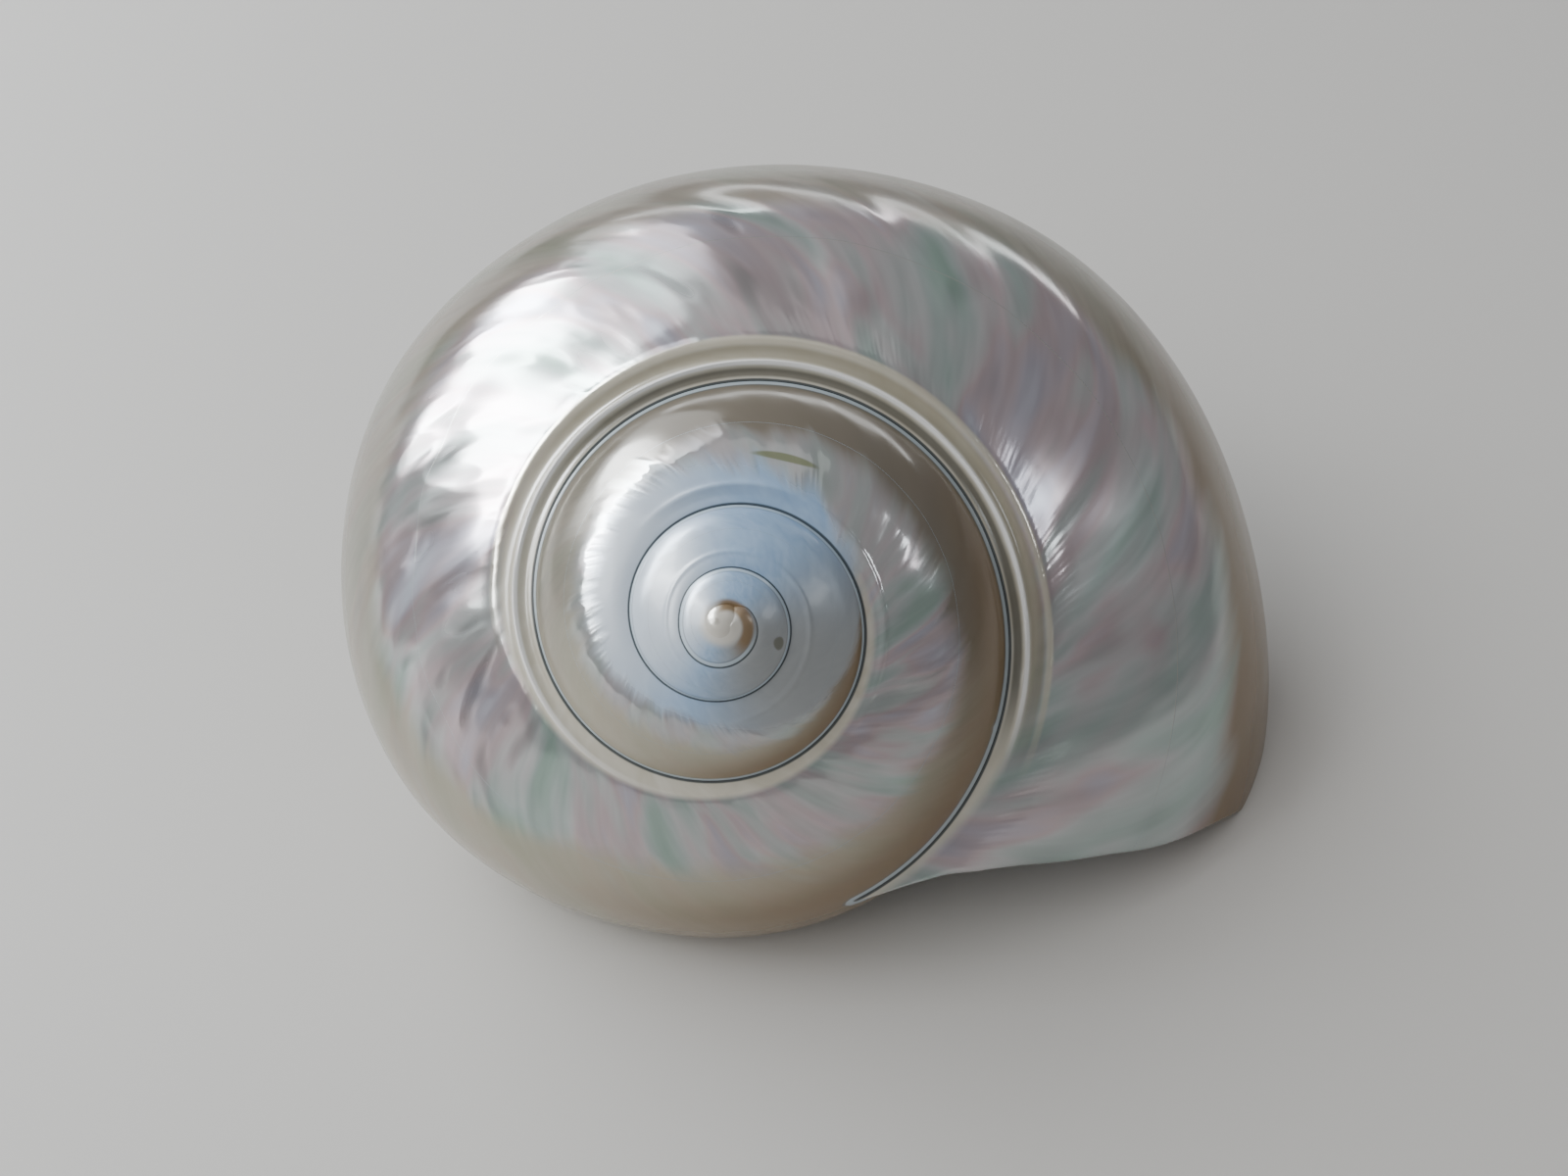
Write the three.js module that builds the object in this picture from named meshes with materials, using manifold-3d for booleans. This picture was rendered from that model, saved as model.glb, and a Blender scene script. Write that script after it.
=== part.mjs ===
// Turban shell: a low-spired, right-handed (dextral) sea shell, grown as one piece.
// Millimetres, +Z up, the table is z = 0. The shell rests mouth down, apex up and towards -Y.
//
// The whole shell is one profile swept along a logarithmic helix about the coil axis.
// Profile points are [distance from the axis, height along the axis], both in units of
// the growth size, which is the distance from the axis to the shoulder of that whorl.
import * as THREE from 'three';
import * as BufferGeometryUtils from 'three/addons/utils/BufferGeometryUtils.js';
import Module from 'manifold-3d';

// ---- driving dimensions ----
const LIP_SHOULDER_RADIUS = 39.07;  // growth size where the shoulder meets the lip
const WHORL_GROWTH = 2.149;         // each turn is this much larger than the one before
const TURNS_BEFORE_LIP = 4.3;       // turns from the first whorl to the lip
const LIP_ANGLE = 22;               // degrees, lip shoulder direction about the axis
const AXIS_ELEVATION = 47.77;       // degrees above the table, towards -Y
const AXIS_SIDE_LEAN = -0.664;      // degrees, towards +X when positive
const APEX_HEIGHT = 34.29;          // apex of the growth cone above the table

// outer surface: suture, collar, ramp, shoulder, side, base, columella, hidden inner side
const PROFILE = [
  [0.470, -0.378], [0.550, -0.382], [0.640, -0.417], [0.780, -0.500], [0.900, -0.582],
  [0.985, -0.652], [1.058, -0.742], [1.120, -0.852], [1.160, -0.975], [1.135, -1.100],
  [1.055, -1.210], [0.925, -1.300], [0.740, -1.355], [0.540, -1.365], [0.360, -1.320],
  [0.220, -1.220], [0.120, -1.080], [0.070, -0.900], [0.070, -0.720], [0.140, -0.550],
  [0.280, -0.450], [0.420, -0.400],
];
// hollow of the body whorl, kept clear of the whorl before it
const LUMEN = [
  [0.600, -0.468], [0.690, -0.512], [0.800, -0.580], [0.900, -0.655], [0.980, -0.732],
  [1.045, -0.820], [1.090, -0.910], [1.105, -0.980], [1.080, -1.070], [1.010, -1.165],
  [0.890, -1.245], [0.730, -1.297], [0.550, -1.305], [0.390, -1.265], [0.270, -1.180],
  [0.200, -1.060], [0.185, -0.930], [0.230, -0.790], [0.370, -0.705], [0.490, -0.645],
  [0.570, -0.570],
];
const LUMEN_TURNS = 1.3;            // how far the open hollow runs back from the lip
const LUMEN_OVERRUN = 14;           // degrees the cutter runs on past the lip

// The growing edge leans back: degrees each part of the edge is ahead of the lip shoulder,
// against the place along the profile (0 at the suture, 1 all the way round).
const EDGE_LEAD = [
  [0.000, 58], [0.030, 47], [0.045, 37], [0.057, 32], [0.086, 25], [0.110, 19.5],
  [0.150, 12.5], [0.190, 8.2], [0.225, 5.2], [0.252, 3.2], [0.340, 0], [0.780, 0],
  [0.880, 16], [1.000, 58],
];
// Uneven swelling of the body whorl's side: [degrees before the lip, radial factor]
const SWELL = [
  [-400, 1.000], [-318, 1.024], [-275, 0.998], [-228, 1.036], [-190, 1.025], [-172, 1.020],
  [-139, 0.982], [-97, 0.965], [-70, 0.987], [-25, 0.999], [-5, 1.024], [60, 1.000],
];
const COLUMELLA_TAPER = 0.098;      // pillar radius for each millimetre below the apex
const COLUMELLA_TOP = 4;            // where the pillar starts, below the apex
const COLUMELLA_LENGTH = 20;        // pillar length down the axis
const NAVEL_RADIUS = 6.4;           // rounded pad that closes the navel
const NAVEL_DEPTH = 23.5;           // its centre, below the apex
const FIRST_WHORL_RADIUS = 0.50;    // rounded start of the shell, in growth sizes

// faceting
const STEPS_PER_TURN_OUTER = 28;
const STEPS_PER_TURN_INNER = 20;
const PIECE_TURNS = 0.5;

const RAD = Math.PI / 180;

// ---- small helpers ----
function lookUp(table, x) {
  if (x <= table[0][0]) return table[0][1];
  for (let i = 1; i < table.length; i += 1) {
    const [x1, y1] = table[i];
    if (x <= x1) {
      const [x0, y0] = table[i - 1];
      const u = (x - x0) / (x1 - x0);
      const s = u * u * (3 - 2 * u);
      return y0 + (y1 - y0) * s;
    }
  }
  return table[table.length - 1][1];
}

function growthSize(turns) {
  return LIP_SHOULDER_RADIUS * WHORL_GROWTH ** turns;
}

// full effect on the side and base, none at the suture, the ramp's top or the pillar
function swellShare(place) {
  const rise = THREE.MathUtils.smoothstep(place, 0.06, 0.34);
  const fall = 1 - THREE.MathUtils.smoothstep(place, 0.60, 0.78);
  return rise * fall;
}

// unit vectors of the coil: axis towards the apex, and the two directions across it
function coilFrame() {
  const elevation = AXIS_ELEVATION * RAD;
  const lean = AXIS_SIDE_LEAN * RAD;
  const axis = new THREE.Vector3(
    Math.sin(lean),
    -Math.cos(elevation) * Math.cos(lean),
    Math.sin(elevation) * Math.cos(lean),
  );
  const right = new THREE.Vector3(1, 0, 0).addScaledVector(axis, -axis.x).normalize();
  const down = new THREE.Vector3().crossVectors(right, axis);
  return { axis, right, down };
}
const COIL = coilFrame();

function pointOnShell(turns, place, [radius, height], swollen) {
  const t = turns + lookUp(EDGE_LEAD, place) / 360;
  const g = growthSize(t);
  const swell = swollen ? 1 + (lookUp(SWELL, t * 360) - 1) * swellShare(place) : 1;
  const a = (t * 360 + LIP_ANGLE) * RAD;
  return new THREE.Vector3(0, 0, APEX_HEIGHT)
    .addScaledVector(COIL.right, g * radius * swell * Math.cos(a))
    .addScaledVector(COIL.down, g * radius * swell * Math.sin(a))
    .addScaledVector(COIL.axis, g * height);
}

// ---- solids ----
function toManifold(wasm, geometry) {
  const plain = geometry.clone();
  plain.deleteAttribute('normal');
  plain.deleteAttribute('uv');
  const merged = BufferGeometryUtils.mergeVertices(plain, 1e-5);
  return new wasm.Manifold(new wasm.Mesh({
    numProp: 3,
    vertProperties: new Float32Array(merged.attributes.position.array),
    triVerts: new Uint32Array(merged.index.array),
  }));
}

// closed solid: the profile swept from one growth stage to another, with fan end caps
function sweptSolid(profile, fromTurns, toTurns, steps, swollen) {
  const n = profile.length;
  const vertices = [];
  const faces = [];
  for (let i = 0; i <= steps; i += 1) {
    const turns = fromTurns + (toTurns - fromTurns) * (i / steps);
    profile.forEach((p, j) => {
      vertices.push(...pointOnShell(turns, j / n, p, swollen).toArray());
    });
  }
  for (let i = 0; i < steps; i += 1) {
    for (let j = 0; j < n; j += 1) {
      const a = i * n + j;
      const b = i * n + ((j + 1) % n);
      faces.push(a, a + n, b, b, a + n, b + n);
    }
  }
  for (const [ring, flip] of [[0, false], [steps, true]]) {
    const centre = new THREE.Vector3();
    for (let j = 0; j < n; j += 1) {
      centre.add(new THREE.Vector3().fromArray(vertices, (ring * n + j) * 3));
    }
    centre.divideScalar(n);
    const hub = vertices.length / 3;
    vertices.push(...centre.toArray());
    for (let j = 0; j < n; j += 1) {
      const a = ring * n + j;
      const b = ring * n + ((j + 1) % n);
      faces.push(...(flip ? [hub, b, a] : [hub, a, b]));
    }
  }
  const geometry = new THREE.BufferGeometry();
  geometry.setAttribute('position', new THREE.Float32BufferAttribute(vertices, 3));
  geometry.setIndex(faces);
  return geometry;
}

function whorls(wasm) {
  let body = null;
  for (let end = 0; end > -TURNS_BEFORE_LIP; end -= PIECE_TURNS) {
    const start = Math.max(end - PIECE_TURNS, -TURNS_BEFORE_LIP);
    const perTurn = end > -2 ? STEPS_PER_TURN_OUTER : STEPS_PER_TURN_INNER;
    const steps = Math.max(2, Math.round((end - start) * perTurn));
    const piece = toManifold(wasm, sweptSolid(PROFILE, start, end, steps, true));
    body = body ? body.add(piece) : piece;
  }
  return body;
}

// rounded beginning of the shell, a little ball over the first section
function firstWhorl(wasm) {
  const g = growthSize(-TURNS_BEFORE_LIP);
  const ball = new THREE.SphereGeometry(FIRST_WHORL_RADIUS * g, 14, 10);
  const centre = pointOnShell(-TURNS_BEFORE_LIP, 0.34, [0.56, -0.86], false);
  ball.translate(centre.x, centre.y, centre.z);
  return toManifold(wasm, ball);
}

// pillar round the coil axis
function columella(wasm) {
  const top = COLUMELLA_TOP;
  const bottom = COLUMELLA_TOP + COLUMELLA_LENGTH;
  const cone = new THREE.CylinderGeometry(
    top * COLUMELLA_TAPER, bottom * COLUMELLA_TAPER, COLUMELLA_LENGTH, 20, 1,
  );
  cone.translate(0, -(top + bottom) / 2, 0);
  const turn = new THREE.Quaternion().setFromUnitVectors(
    new THREE.Vector3(0, 1, 0), COIL.axis,
  );
  cone.applyQuaternion(turn);
  cone.translate(0, 0, APEX_HEIGHT);
  return toManifold(wasm, cone);
}

function navelPad(wasm) {
  const ball = new THREE.SphereGeometry(NAVEL_RADIUS, 20, 14);
  const centre = new THREE.Vector3(0, 0, APEX_HEIGHT).addScaledVector(COIL.axis, -NAVEL_DEPTH);
  ball.translate(centre.x, centre.y, centre.z);
  return toManifold(wasm, ball);
}

function hollow(wasm) {
  const end = LUMEN_OVERRUN / 360;
  const steps = Math.round((LUMEN_TURNS + end) * STEPS_PER_TURN_INNER);
  return toManifold(wasm, sweptSolid(LUMEN, -LUMEN_TURNS, end, steps, true));
}

// everything below the table: cutting it away leaves the flat rim of the mouth
function belowTable(wasm) {
  const slab = new THREE.BoxGeometry(300, 300, 100);
  slab.translate(0, 0, -50);
  return toManifold(wasm, slab);
}

// the outer skin alone, so that no small gap between whorls stays sealed in the wall
function withoutSealedGaps(solid) {
  const skins = solid.decompose();
  return skins.reduce((best, skin) => (skin.volume() > best.volume() ? skin : best));
}

function toGeometry(solid) {
  const mesh = solid.getMesh();
  const geometry = new THREE.BufferGeometry();
  geometry.setAttribute('position', new THREE.BufferAttribute(mesh.vertProperties, 3));
  geometry.setIndex(new THREE.BufferAttribute(mesh.triVerts, 1));
  return geometry;
}

async function buildShell() {
  const wasm = await Module();
  wasm.setup();
  const solid = whorls(wasm)
    .add(firstWhorl(wasm))
    .add(columella(wasm))
    .add(navelPad(wasm))
    .subtract(hollow(wasm))
    .subtract(belowTable(wasm));
  const geometry = toGeometry(withoutSealedGaps(solid));
  geometry.computeBoundingBox();
  const box = geometry.boundingBox;
  geometry.translate(-(box.min.x + box.max.x) / 2, -(box.min.y + box.max.y) / 2, 0);
  geometry.computeVertexNormals();
  const mesh = new THREE.Mesh(geometry, new THREE.MeshStandardMaterial({
    color: 0xd9cfc2, roughness: 0.22, metalness: 0,
  }));
  mesh.name = 'turban_shell';
  return mesh;
}

const part = new THREE.Group();
part.name = 'turban_shell_part';
part.add(await buildShell());

export default part;
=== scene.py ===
"""Turban shell: a polished, right-handed nacre sea shell, resting mouth down.

The shell is one profile swept along a logarithmic helix about the coil axis, the same
form as the CAD solid but finely divided, with its ridges, grooves and hammered dents as
real geometry. Lengths are millimetres while the surface is made, metres in Blender.
Angles along the coil are in turns: 0 at the lip's shoulder, negative towards the apex.
A place is a position round the profile, 0 at the suture and 1 all the way round.
"""
import math

import bmesh
import bpy
import numpy as np
from mathutils import Matrix, Vector
from mathutils.kdtree import KDTree


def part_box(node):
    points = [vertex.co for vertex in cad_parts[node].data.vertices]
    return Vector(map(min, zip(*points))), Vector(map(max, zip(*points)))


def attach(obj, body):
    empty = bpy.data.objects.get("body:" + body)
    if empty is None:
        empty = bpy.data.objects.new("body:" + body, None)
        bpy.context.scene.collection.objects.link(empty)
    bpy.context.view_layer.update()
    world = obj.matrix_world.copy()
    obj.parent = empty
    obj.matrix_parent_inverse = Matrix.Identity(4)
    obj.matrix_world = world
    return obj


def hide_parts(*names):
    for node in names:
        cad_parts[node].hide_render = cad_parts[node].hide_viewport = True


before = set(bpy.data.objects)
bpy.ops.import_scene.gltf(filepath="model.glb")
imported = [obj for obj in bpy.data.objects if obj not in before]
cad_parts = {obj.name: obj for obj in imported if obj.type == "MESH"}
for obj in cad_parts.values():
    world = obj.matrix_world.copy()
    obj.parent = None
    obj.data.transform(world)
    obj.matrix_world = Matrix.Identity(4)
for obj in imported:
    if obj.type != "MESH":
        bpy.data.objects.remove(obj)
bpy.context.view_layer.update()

# ---- coil and profile, as in the CAD solid ----
LIP_SHOULDER_RADIUS = 39.07
WHORL_GROWTH = 2.149
TURNS_BEFORE_LIP = 4.3
LIP_ANGLE = 22.0
AXIS_ELEVATION = 47.77
AXIS_SIDE_LEAN = -0.664
APEX_HEIGHT = 34.29

# [distance from the axis, height along it] in growth sizes: suture, collar, ramp,
# shoulder, side, base, columella, hidden inner side
PROFILE = [
    (0.470, -0.378), (0.550, -0.382), (0.640, -0.417), (0.780, -0.500), (0.900, -0.582),
    (0.985, -0.652), (1.058, -0.742), (1.120, -0.852), (1.160, -0.975), (1.135, -1.100),
    (1.055, -1.210), (0.925, -1.300), (0.740, -1.355), (0.540, -1.365), (0.360, -1.320),
    (0.220, -1.220), (0.120, -1.080), (0.070, -0.900), (0.070, -0.720), (0.140, -0.550),
    (0.280, -0.450), (0.420, -0.400),
]
LUMEN = [
    (0.600, -0.468), (0.690, -0.512), (0.800, -0.580), (0.900, -0.655), (0.980, -0.732),
    (1.045, -0.820), (1.090, -0.910), (1.105, -0.980), (1.080, -1.070), (1.010, -1.165),
    (0.890, -1.245), (0.730, -1.297), (0.550, -1.305), (0.390, -1.265), (0.270, -1.180),
    (0.200, -1.060), (0.185, -0.930), (0.230, -0.790), (0.370, -0.705), (0.490, -0.645),
    (0.570, -0.570),
]
SUTURE_RHO = 0.512                  # where one whorl meets the one before it
LUMEN_TURNS = 1.3
LUMEN_OVERRUN = 14 / 360
COLUMELLA_TAPER, COLUMELLA_TOP, COLUMELLA_LENGTH = 0.098, 4.0, 20.0
NAVEL_RADIUS, NAVEL_DEPTH = 6.4, 23.5
NUCLEUS_RADIUS, NUCLEUS_DEPTH = 1.50, 2.10
START_RHO, START_HEIGHT, START_TURNS = 0.56, -0.86, 0.16   # the tube opens from a point
SLAB_SIZE, SLAB_DEPTH = 300, 100    # cuts the shell off level where it rests
# growth and place that the plain solids carry, which choose their finish
HIDDEN_GROWTH, NUCLEUS_GROWTH, SOLID_PLACE = -0.5, -4.2, 0.62

# degrees that each place on the growing edge is ahead of the lip's shoulder; seven rows are
# the rounded output of a fit to points on the photo's lip edge
EDGE_LEAD = [
    (0.000, 58), (0.030, 47), (0.045, 37), (0.057, 32), (0.086, 25), (0.110, 19.5),
    (0.150, 12.5), (0.190, 8.2), (0.225, 5.2), (0.252, 3.2), (0.340, 0), (0.780, 0),
    (0.880, 16), (1.000, 58),
]
# uneven swelling of the body whorl's side, smoothed from measured outline radii:
# (degrees from the lip, radial factor)
SWELL = [
    (-400, 1.000), (-318, 1.024), (-275, 0.998), (-228, 1.036), (-190, 1.025),
    (-172, 1.020), (-139, 0.982), (-97, 0.965), (-70, 0.987), (-25, 0.999),
    (-5, 1.024), (60, 1.000),
]
# the first whorls wander from the helix: (turns from the lip, factor on the radius)
EARLY_RADIUS = [
    (-3.90, 0.50), (-3.56, 0.65), (-3.31, 0.87), (-3.14, 1.00), (-3.06, 1.08),
    (-2.92, 1.14), (-2.81, 1.17), (-2.73, 1.14), (-2.62, 1.03), (-2.55, 0.97),
    (-2.42, 0.98), (-2.28, 1.00),
]

# how hammered the nacre is along the body whorl: (turns from the lip, share)
HAMMERED = [
    (-1.70, 0.00), (-1.00, 0.35), (-0.70, 0.35), (-0.54, 1.10), (-0.38, 1.20), (-0.22, 0.50),
    (0.00, 0.40),
]

# ---- zones of the finish: (turns from the lip, place where the zone ends) ----
NACRE_END = [
    (-1.95, 0.190), (-1.78, 0.150), (-1.50, 0.146), (-1.25, 0.150), (-1.07, 0.150),
    (-1.01, 0.172), (-0.94, 0.168), (-0.83, 0.152), (-0.735, 0.156), (-0.67, 0.198),
    (-0.59, 0.214), (-0.30, 0.222), (-0.06, 0.234), (0.0, 0.228), (0.1, 0.228),
]
COLLAR_END = [
    (-1.10, 0.040), (-0.83, 0.052), (-0.68, 0.062), (-0.51, 0.074), (-0.30, 0.073),
    (-0.10, 0.057), (0.00, 0.046), (0.10, 0.036),
]
PORCELAIN_END = [
    (-2.12, 0.300), (-1.95, 0.190), (-1.78, 0.100), (-1.53, 0.116), (-1.36, 0.118),
    (-1.22, 0.085), (-1.08, 0.020), (-0.95, -0.020),
]
# small marks: (turns from the lip, place, length along the coil, length across)
GREY_SPOT = (-3.005, 0.190, 0.036, 0.085)
OLIVE_FLECK = (-1.256, 0.119, 0.060, 0.010)

# ---- mesh fineness ----
STEPS_PER_TURN = [(-1.0, 300), (-2.0, 240), (-3.0, 170), (-9.0, 110)]
PIECE_TURNS = 0.5
# samples between these places: closest over the collar's ridges, sparse where hidden
PLACE_SAMPLES = [(0.018, 3), (0.080, 26), (0.140, 13), (0.400, 40), (0.700, 24), (1.0, 12)]
LUMEN_SAMPLES = 64
LUMEN_STEPS = 150
LIP_RINGS = (-0.0019, -0.0014, -0.0010, -0.0006, -0.0003)   # closer, where the lip rounds over
LIP_CLEAR = 0.0024                  # turns before the lip that are left to those rings
SUTURE_STEP = 0.05                  # millimetres between the points that mark a suture
SUTURE_SIDE = 0.17                  # places before this face the suture on their inner side
SHARP_ANGLE = 42                    # degrees; edges that bend more are shaded as sharp
BOX_SCALE = 0.9995                  # keeps the shell just inside the CAD solid's box
MM = 1000                           # millimetres in a metre

# surface coordinates of dents and streaks: they slant back across the whorl
SLANT = 0.42                        # turns, over the whole profile
COIL_MM, ACROSS_MM = 210.0, 100.0   # length of a turn and of the profile, body whorl

# ---- relief, millimetres ----
LIP_ROUND = 0.45                    # radius of the lip's rounded edge
LIP_THINNING = 0.75                 # the wall thins by this much towards the lip
LIP_THINNING_TURNS = 0.20
DENT_DEPTH = 0.15                   # hammered dents of the nacre, at the lip's size
CREST_HEIGHT = 0.32                 # cord along the suture
CREST_MM, CREST_WIDTH = 1.25, 0.23
GROOVE_DEPTH, GROOVE_MM, GROOVE_WIDTH = 0.16, 0.62, 0.28
RIDGE_HEIGHT, RIDGE_MM, RIDGE_WIDTH = 0.20, 2.95, 0.42
TROUGH_DEPTH, TROUGH_MM, TROUGH_WIDTH = 0.12, 2.0, 0.40
SHELF_RHO, SHELF_EDGE, SHELF_HEIGHT = 0.755, 1.10, 0.040   # in growth sizes
SHELF_KNEE, SHELF_SOFT = 0.88, 0.06      # share of its height at which its top rounds over
EARLY_RIDGE_RHO, EARLY_RIDGE_WIDTH, EARLY_RIDGE_HEIGHT = 0.66, 0.020, 0.0100
# where the relief rises and fades out, in degrees from the lip
COLLAR_RISE, COLLAR_FALL = (-285, -195), (-22, 12)
FAINT_RISE, FAINT_FALL, FAINT_SHARE = (-520, -480), (-380, -330), 0.45
OUTER_RIDGE_RISE = (-230, -170)
EARLY_RIDGE_RISE, EARLY_RIDGE_FALL = (-1022, -942), (-722, -602)
SHELF_RISE, SHELF_FALL = (-702, -582), (-422, -337)
# what a surface is: outside of the shell, its hollow, or the cut where it rests
SKIN_OUTSIDE, SKIN_HOLLOW, SKIN_CUT = 0.0, 1.0, 2.0

# ---- marks on the tip, millimetres from the coil axis ----
TIP_FADE = (1.0, 1.7)
CRESCENT_START, CRESCENT_END = (-125, -80), (35, 80)   # degrees round the tip
CRESCENT_RADIUS, CRESCENT_DRIFT = 1.55, 0.0045         # its middle, and the rise per degree
CRESCENT_FADE = (0.20, 0.50)
PIT_RIGHT, PIT_DOWN, PIT_FADE = -0.38, -0.22, (0.10, 0.30)
TIP_REACH = 6.0                     # the marks stay within this distance of the apex

# ---- finish ----
# noises: depth, (feature size along, across the coil, in depth), detail, roughness, distortion
NOISES = {
    "patches": (0.0, (11.0, 17.0, 1.0), 2.0, 0.5, 0.9),
    "streaks": (3.0, (4.6, 15.0, 1.0), 2.0, 0.45, 0.5),
    "threads": (7.0, (1.1, 6.0, 1.0), 1.0, 0.5, 0.2),
    "clouds": (11.0, (6.0, 6.0, 1.0), 2.0, 0.5, 0.8),
    "dimples": (17.0, (3.4, 4.6, 1.0), 0.0, 0.4, 0.15),
}
BASE_ROUGHNESS, PEARL_METAL, BAND_METAL = 0.19, 0.55, 0.12
BUMP_DISTANCE, BUMP_STRENGTH = 0.00010, 0.9
COAT = {"Coat Weight": 0.18, "Coat Roughness": 0.08, "Coat IOR": 1.5}

# ---- light: name, azimuth, elevation, distance, size, watts, colour, only in reflections ----
LIGHTS = [
    ("window", -60, 38, 0.60, (0.78, 0.46), 3.6, (0.93, 0.97, 1.0), False),
    ("window_core", -66, 36, 0.58, (0.44, 0.22), 11.5, (0.92, 0.97, 1.0), True),
    ("window_left", -100, 36, 0.60, (0.36, 0.28), 4.2, (0.94, 0.98, 1.0), True),
    ("front_left", -110, 42, 0.60, (0.48, 0.42), 1.6, (1.0, 0.99, 0.97), False),
    ("back_strip", 12, 17, 0.80, (1.10, 0.10), 1.7, (0.95, 0.98, 1.0), True),
    ("right_fill", 99, 30, 0.60, (0.15, 0.12), 0.35, (0.90, 0.96, 1.0), True),
    ("overhead", 20, 80, 0.90, (0.70, 0.70), 0.5, (1.0, 0.99, 0.97), False),
]
LIGHT_TARGET = (0, 0, 0.018)
WORLD_COLOUR, WORLD_STRENGTH = (0.84, 0.84, 0.85, 1), 0.33

# ---- camera and floor, metres ----
CAMERA_PITCH = 50.0                 # degrees below level
APEX_DEPTH = 0.092                  # apex of the coil along the line of sight
APEX_RIGHT, APEX_DOWN = -0.0410, 0.0244   # its offset from that line, over the depth
SENSOR, LENS = 36.0, 35.0           # millimetres
CLIP_START = 0.005
FLOOR_SIZE, FLOOR_COLOUR, FLOOR_ROUGHNESS = 4.0, (0.62, 0.605, 0.58, 1), 0.75

RNG = np.random.default_rng(20)


# ---- small numeric helpers ----
def smoothstep(lo, hi, x):
    u = np.clip((x - lo) / (hi - lo), 0.0, 1.0)
    return u * u * (3 - 2 * u)


def between(rise, fall, x):
    """1 between a rising slope and a falling one, 0 beyond them."""
    return smoothstep(*rise, x) * (1 - smoothstep(*fall, x))


def curve_through(table, x):
    """Smooth curve through the (x, y) rows of a table, level beyond both ends."""
    xs, ys = (np.array(column, float) for column in zip(*table))
    slope = np.gradient(ys, xs)
    slope[0] = slope[-1] = 0.0
    x = np.clip(x, xs[0], xs[-1])
    i = np.clip(np.searchsorted(xs, x) - 1, 0, len(xs) - 2)
    step = xs[i + 1] - xs[i]
    u = (x - xs[i]) / step
    blend = u * u * (3 - 2 * u)
    rise = u * (1 - u) * step
    return (ys[i] * (1 - blend) + ys[i + 1] * blend
            + rise * ((1 - u) * slope[i] - u * slope[i + 1]))


def closed_spline(points, places):
    """Catmull-Rom curve round a closed list of points."""
    p = np.array(points)
    f = np.asarray(places) * len(p)
    i = np.floor(f).astype(int)
    u = (f - i)[..., None]
    a, b, c, d = (p[(i + k) % len(p)] for k in (-1, 0, 1, 2))
    return 0.5 * (2 * b + (c - a) * u + (2 * a - 5 * b + 4 * c - d) * u ** 2
                  + (3 * b - a - 3 * c + d) * u ** 3)


def bell(x, centre, width):
    return np.exp(-((x - centre) / width) ** 2)


def random_waves(count, shortest, longest, stretch):
    """Plane waves of many directions, as (wave vectors, phases)."""
    directions = RNG.normal(size=(count, len(stretch)))
    directions /= np.linalg.norm(directions, axis=1)[:, None]
    lengths = RNG.uniform(shortest, longest, count)
    vectors = directions / np.array(stretch) * (2 * math.pi / lengths)[:, None]
    return vectors, RNG.uniform(0, 2 * math.pi, count)


def wave_field(waves, coordinates):
    """Smooth random field of about unit height, the sum of the waves."""
    field = np.zeros(coordinates.shape[:-1])
    for vector, phase in zip(*waves):
        field += np.sin(coordinates @ vector + phase)
    return field / math.sqrt(len(waves[1]) / 2)


# ---- the shell's surface ----
def growth_size(turns):
    return LIP_SHOULDER_RADIUS * WHORL_GROWTH ** turns


def coil_frame():
    """Axis towards the apex, and the two directions across it."""
    elevation, lean = math.radians(AXIS_ELEVATION), math.radians(AXIS_SIDE_LEAN)
    axis = np.array([math.sin(lean), -math.cos(elevation) * math.cos(lean),
                     math.sin(elevation) * math.cos(lean)])
    right = np.array([1.0, 0, 0]) - axis[0] * axis
    right /= np.linalg.norm(right)
    return axis, right, np.cross(right, axis)


AXIS, RIGHT, DOWN = coil_frame()
APEX = np.array([0.0, 0.0, APEX_HEIGHT])


def swell_share(place):
    """How much each place takes part in the swelling: all of it on the side of the whorl."""
    return between((0.06, 0.34), (0.60, 0.78), place)


def early_factor(turns, rho):
    """Radius factor of the first whorls, running on from each suture to the next."""
    share = np.clip(np.log(np.maximum(rho, 1e-3) / SUTURE_RHO) / math.log(WHORL_GROWTH), 0, 1)
    here = curve_through(EARLY_RADIUS, turns)
    after = curve_through(EARLY_RADIUS, turns + 1)
    return here + (after - here) * share


def surface_point(turns, places, profile):
    """Points of the smooth surface, for growth lines `turns` and profile `places`."""
    t = turns + curve_through(EDGE_LEAD, places) / 360
    g = growth_size(t)
    rho, height = np.moveaxis(closed_spline(profile, places % 1.0), -1, 0)
    swell = 1 + (curve_through(SWELL, t * 360) - 1) * swell_share(places)
    start = smoothstep(0.0, START_TURNS, turns + TURNS_BEFORE_LIP) ** 0.5
    rho = START_RHO + (rho - START_RHO) * start
    height = START_HEIGHT + (height - START_HEIGHT) * start
    radius = g * rho * swell * early_factor(t, rho)
    angle = 2 * math.pi * t + math.radians(LIP_ANGLE)
    return (APEX + (radius * np.cos(angle))[..., None] * RIGHT
            + (radius * np.sin(angle))[..., None] * DOWN
            + (g * height)[..., None] * AXIS)


def surface_normal(turns, places, profile):
    d = 1e-4
    along = (surface_point(turns + d, places, profile)
             - surface_point(turns - d, places, profile))
    across = (surface_point(turns, places + d, profile)
              - surface_point(turns, places - d, profile))
    normal = np.cross(along, across)
    return normal / np.maximum(np.linalg.norm(normal, axis=-1, keepdims=True), 1e-12)


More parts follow.
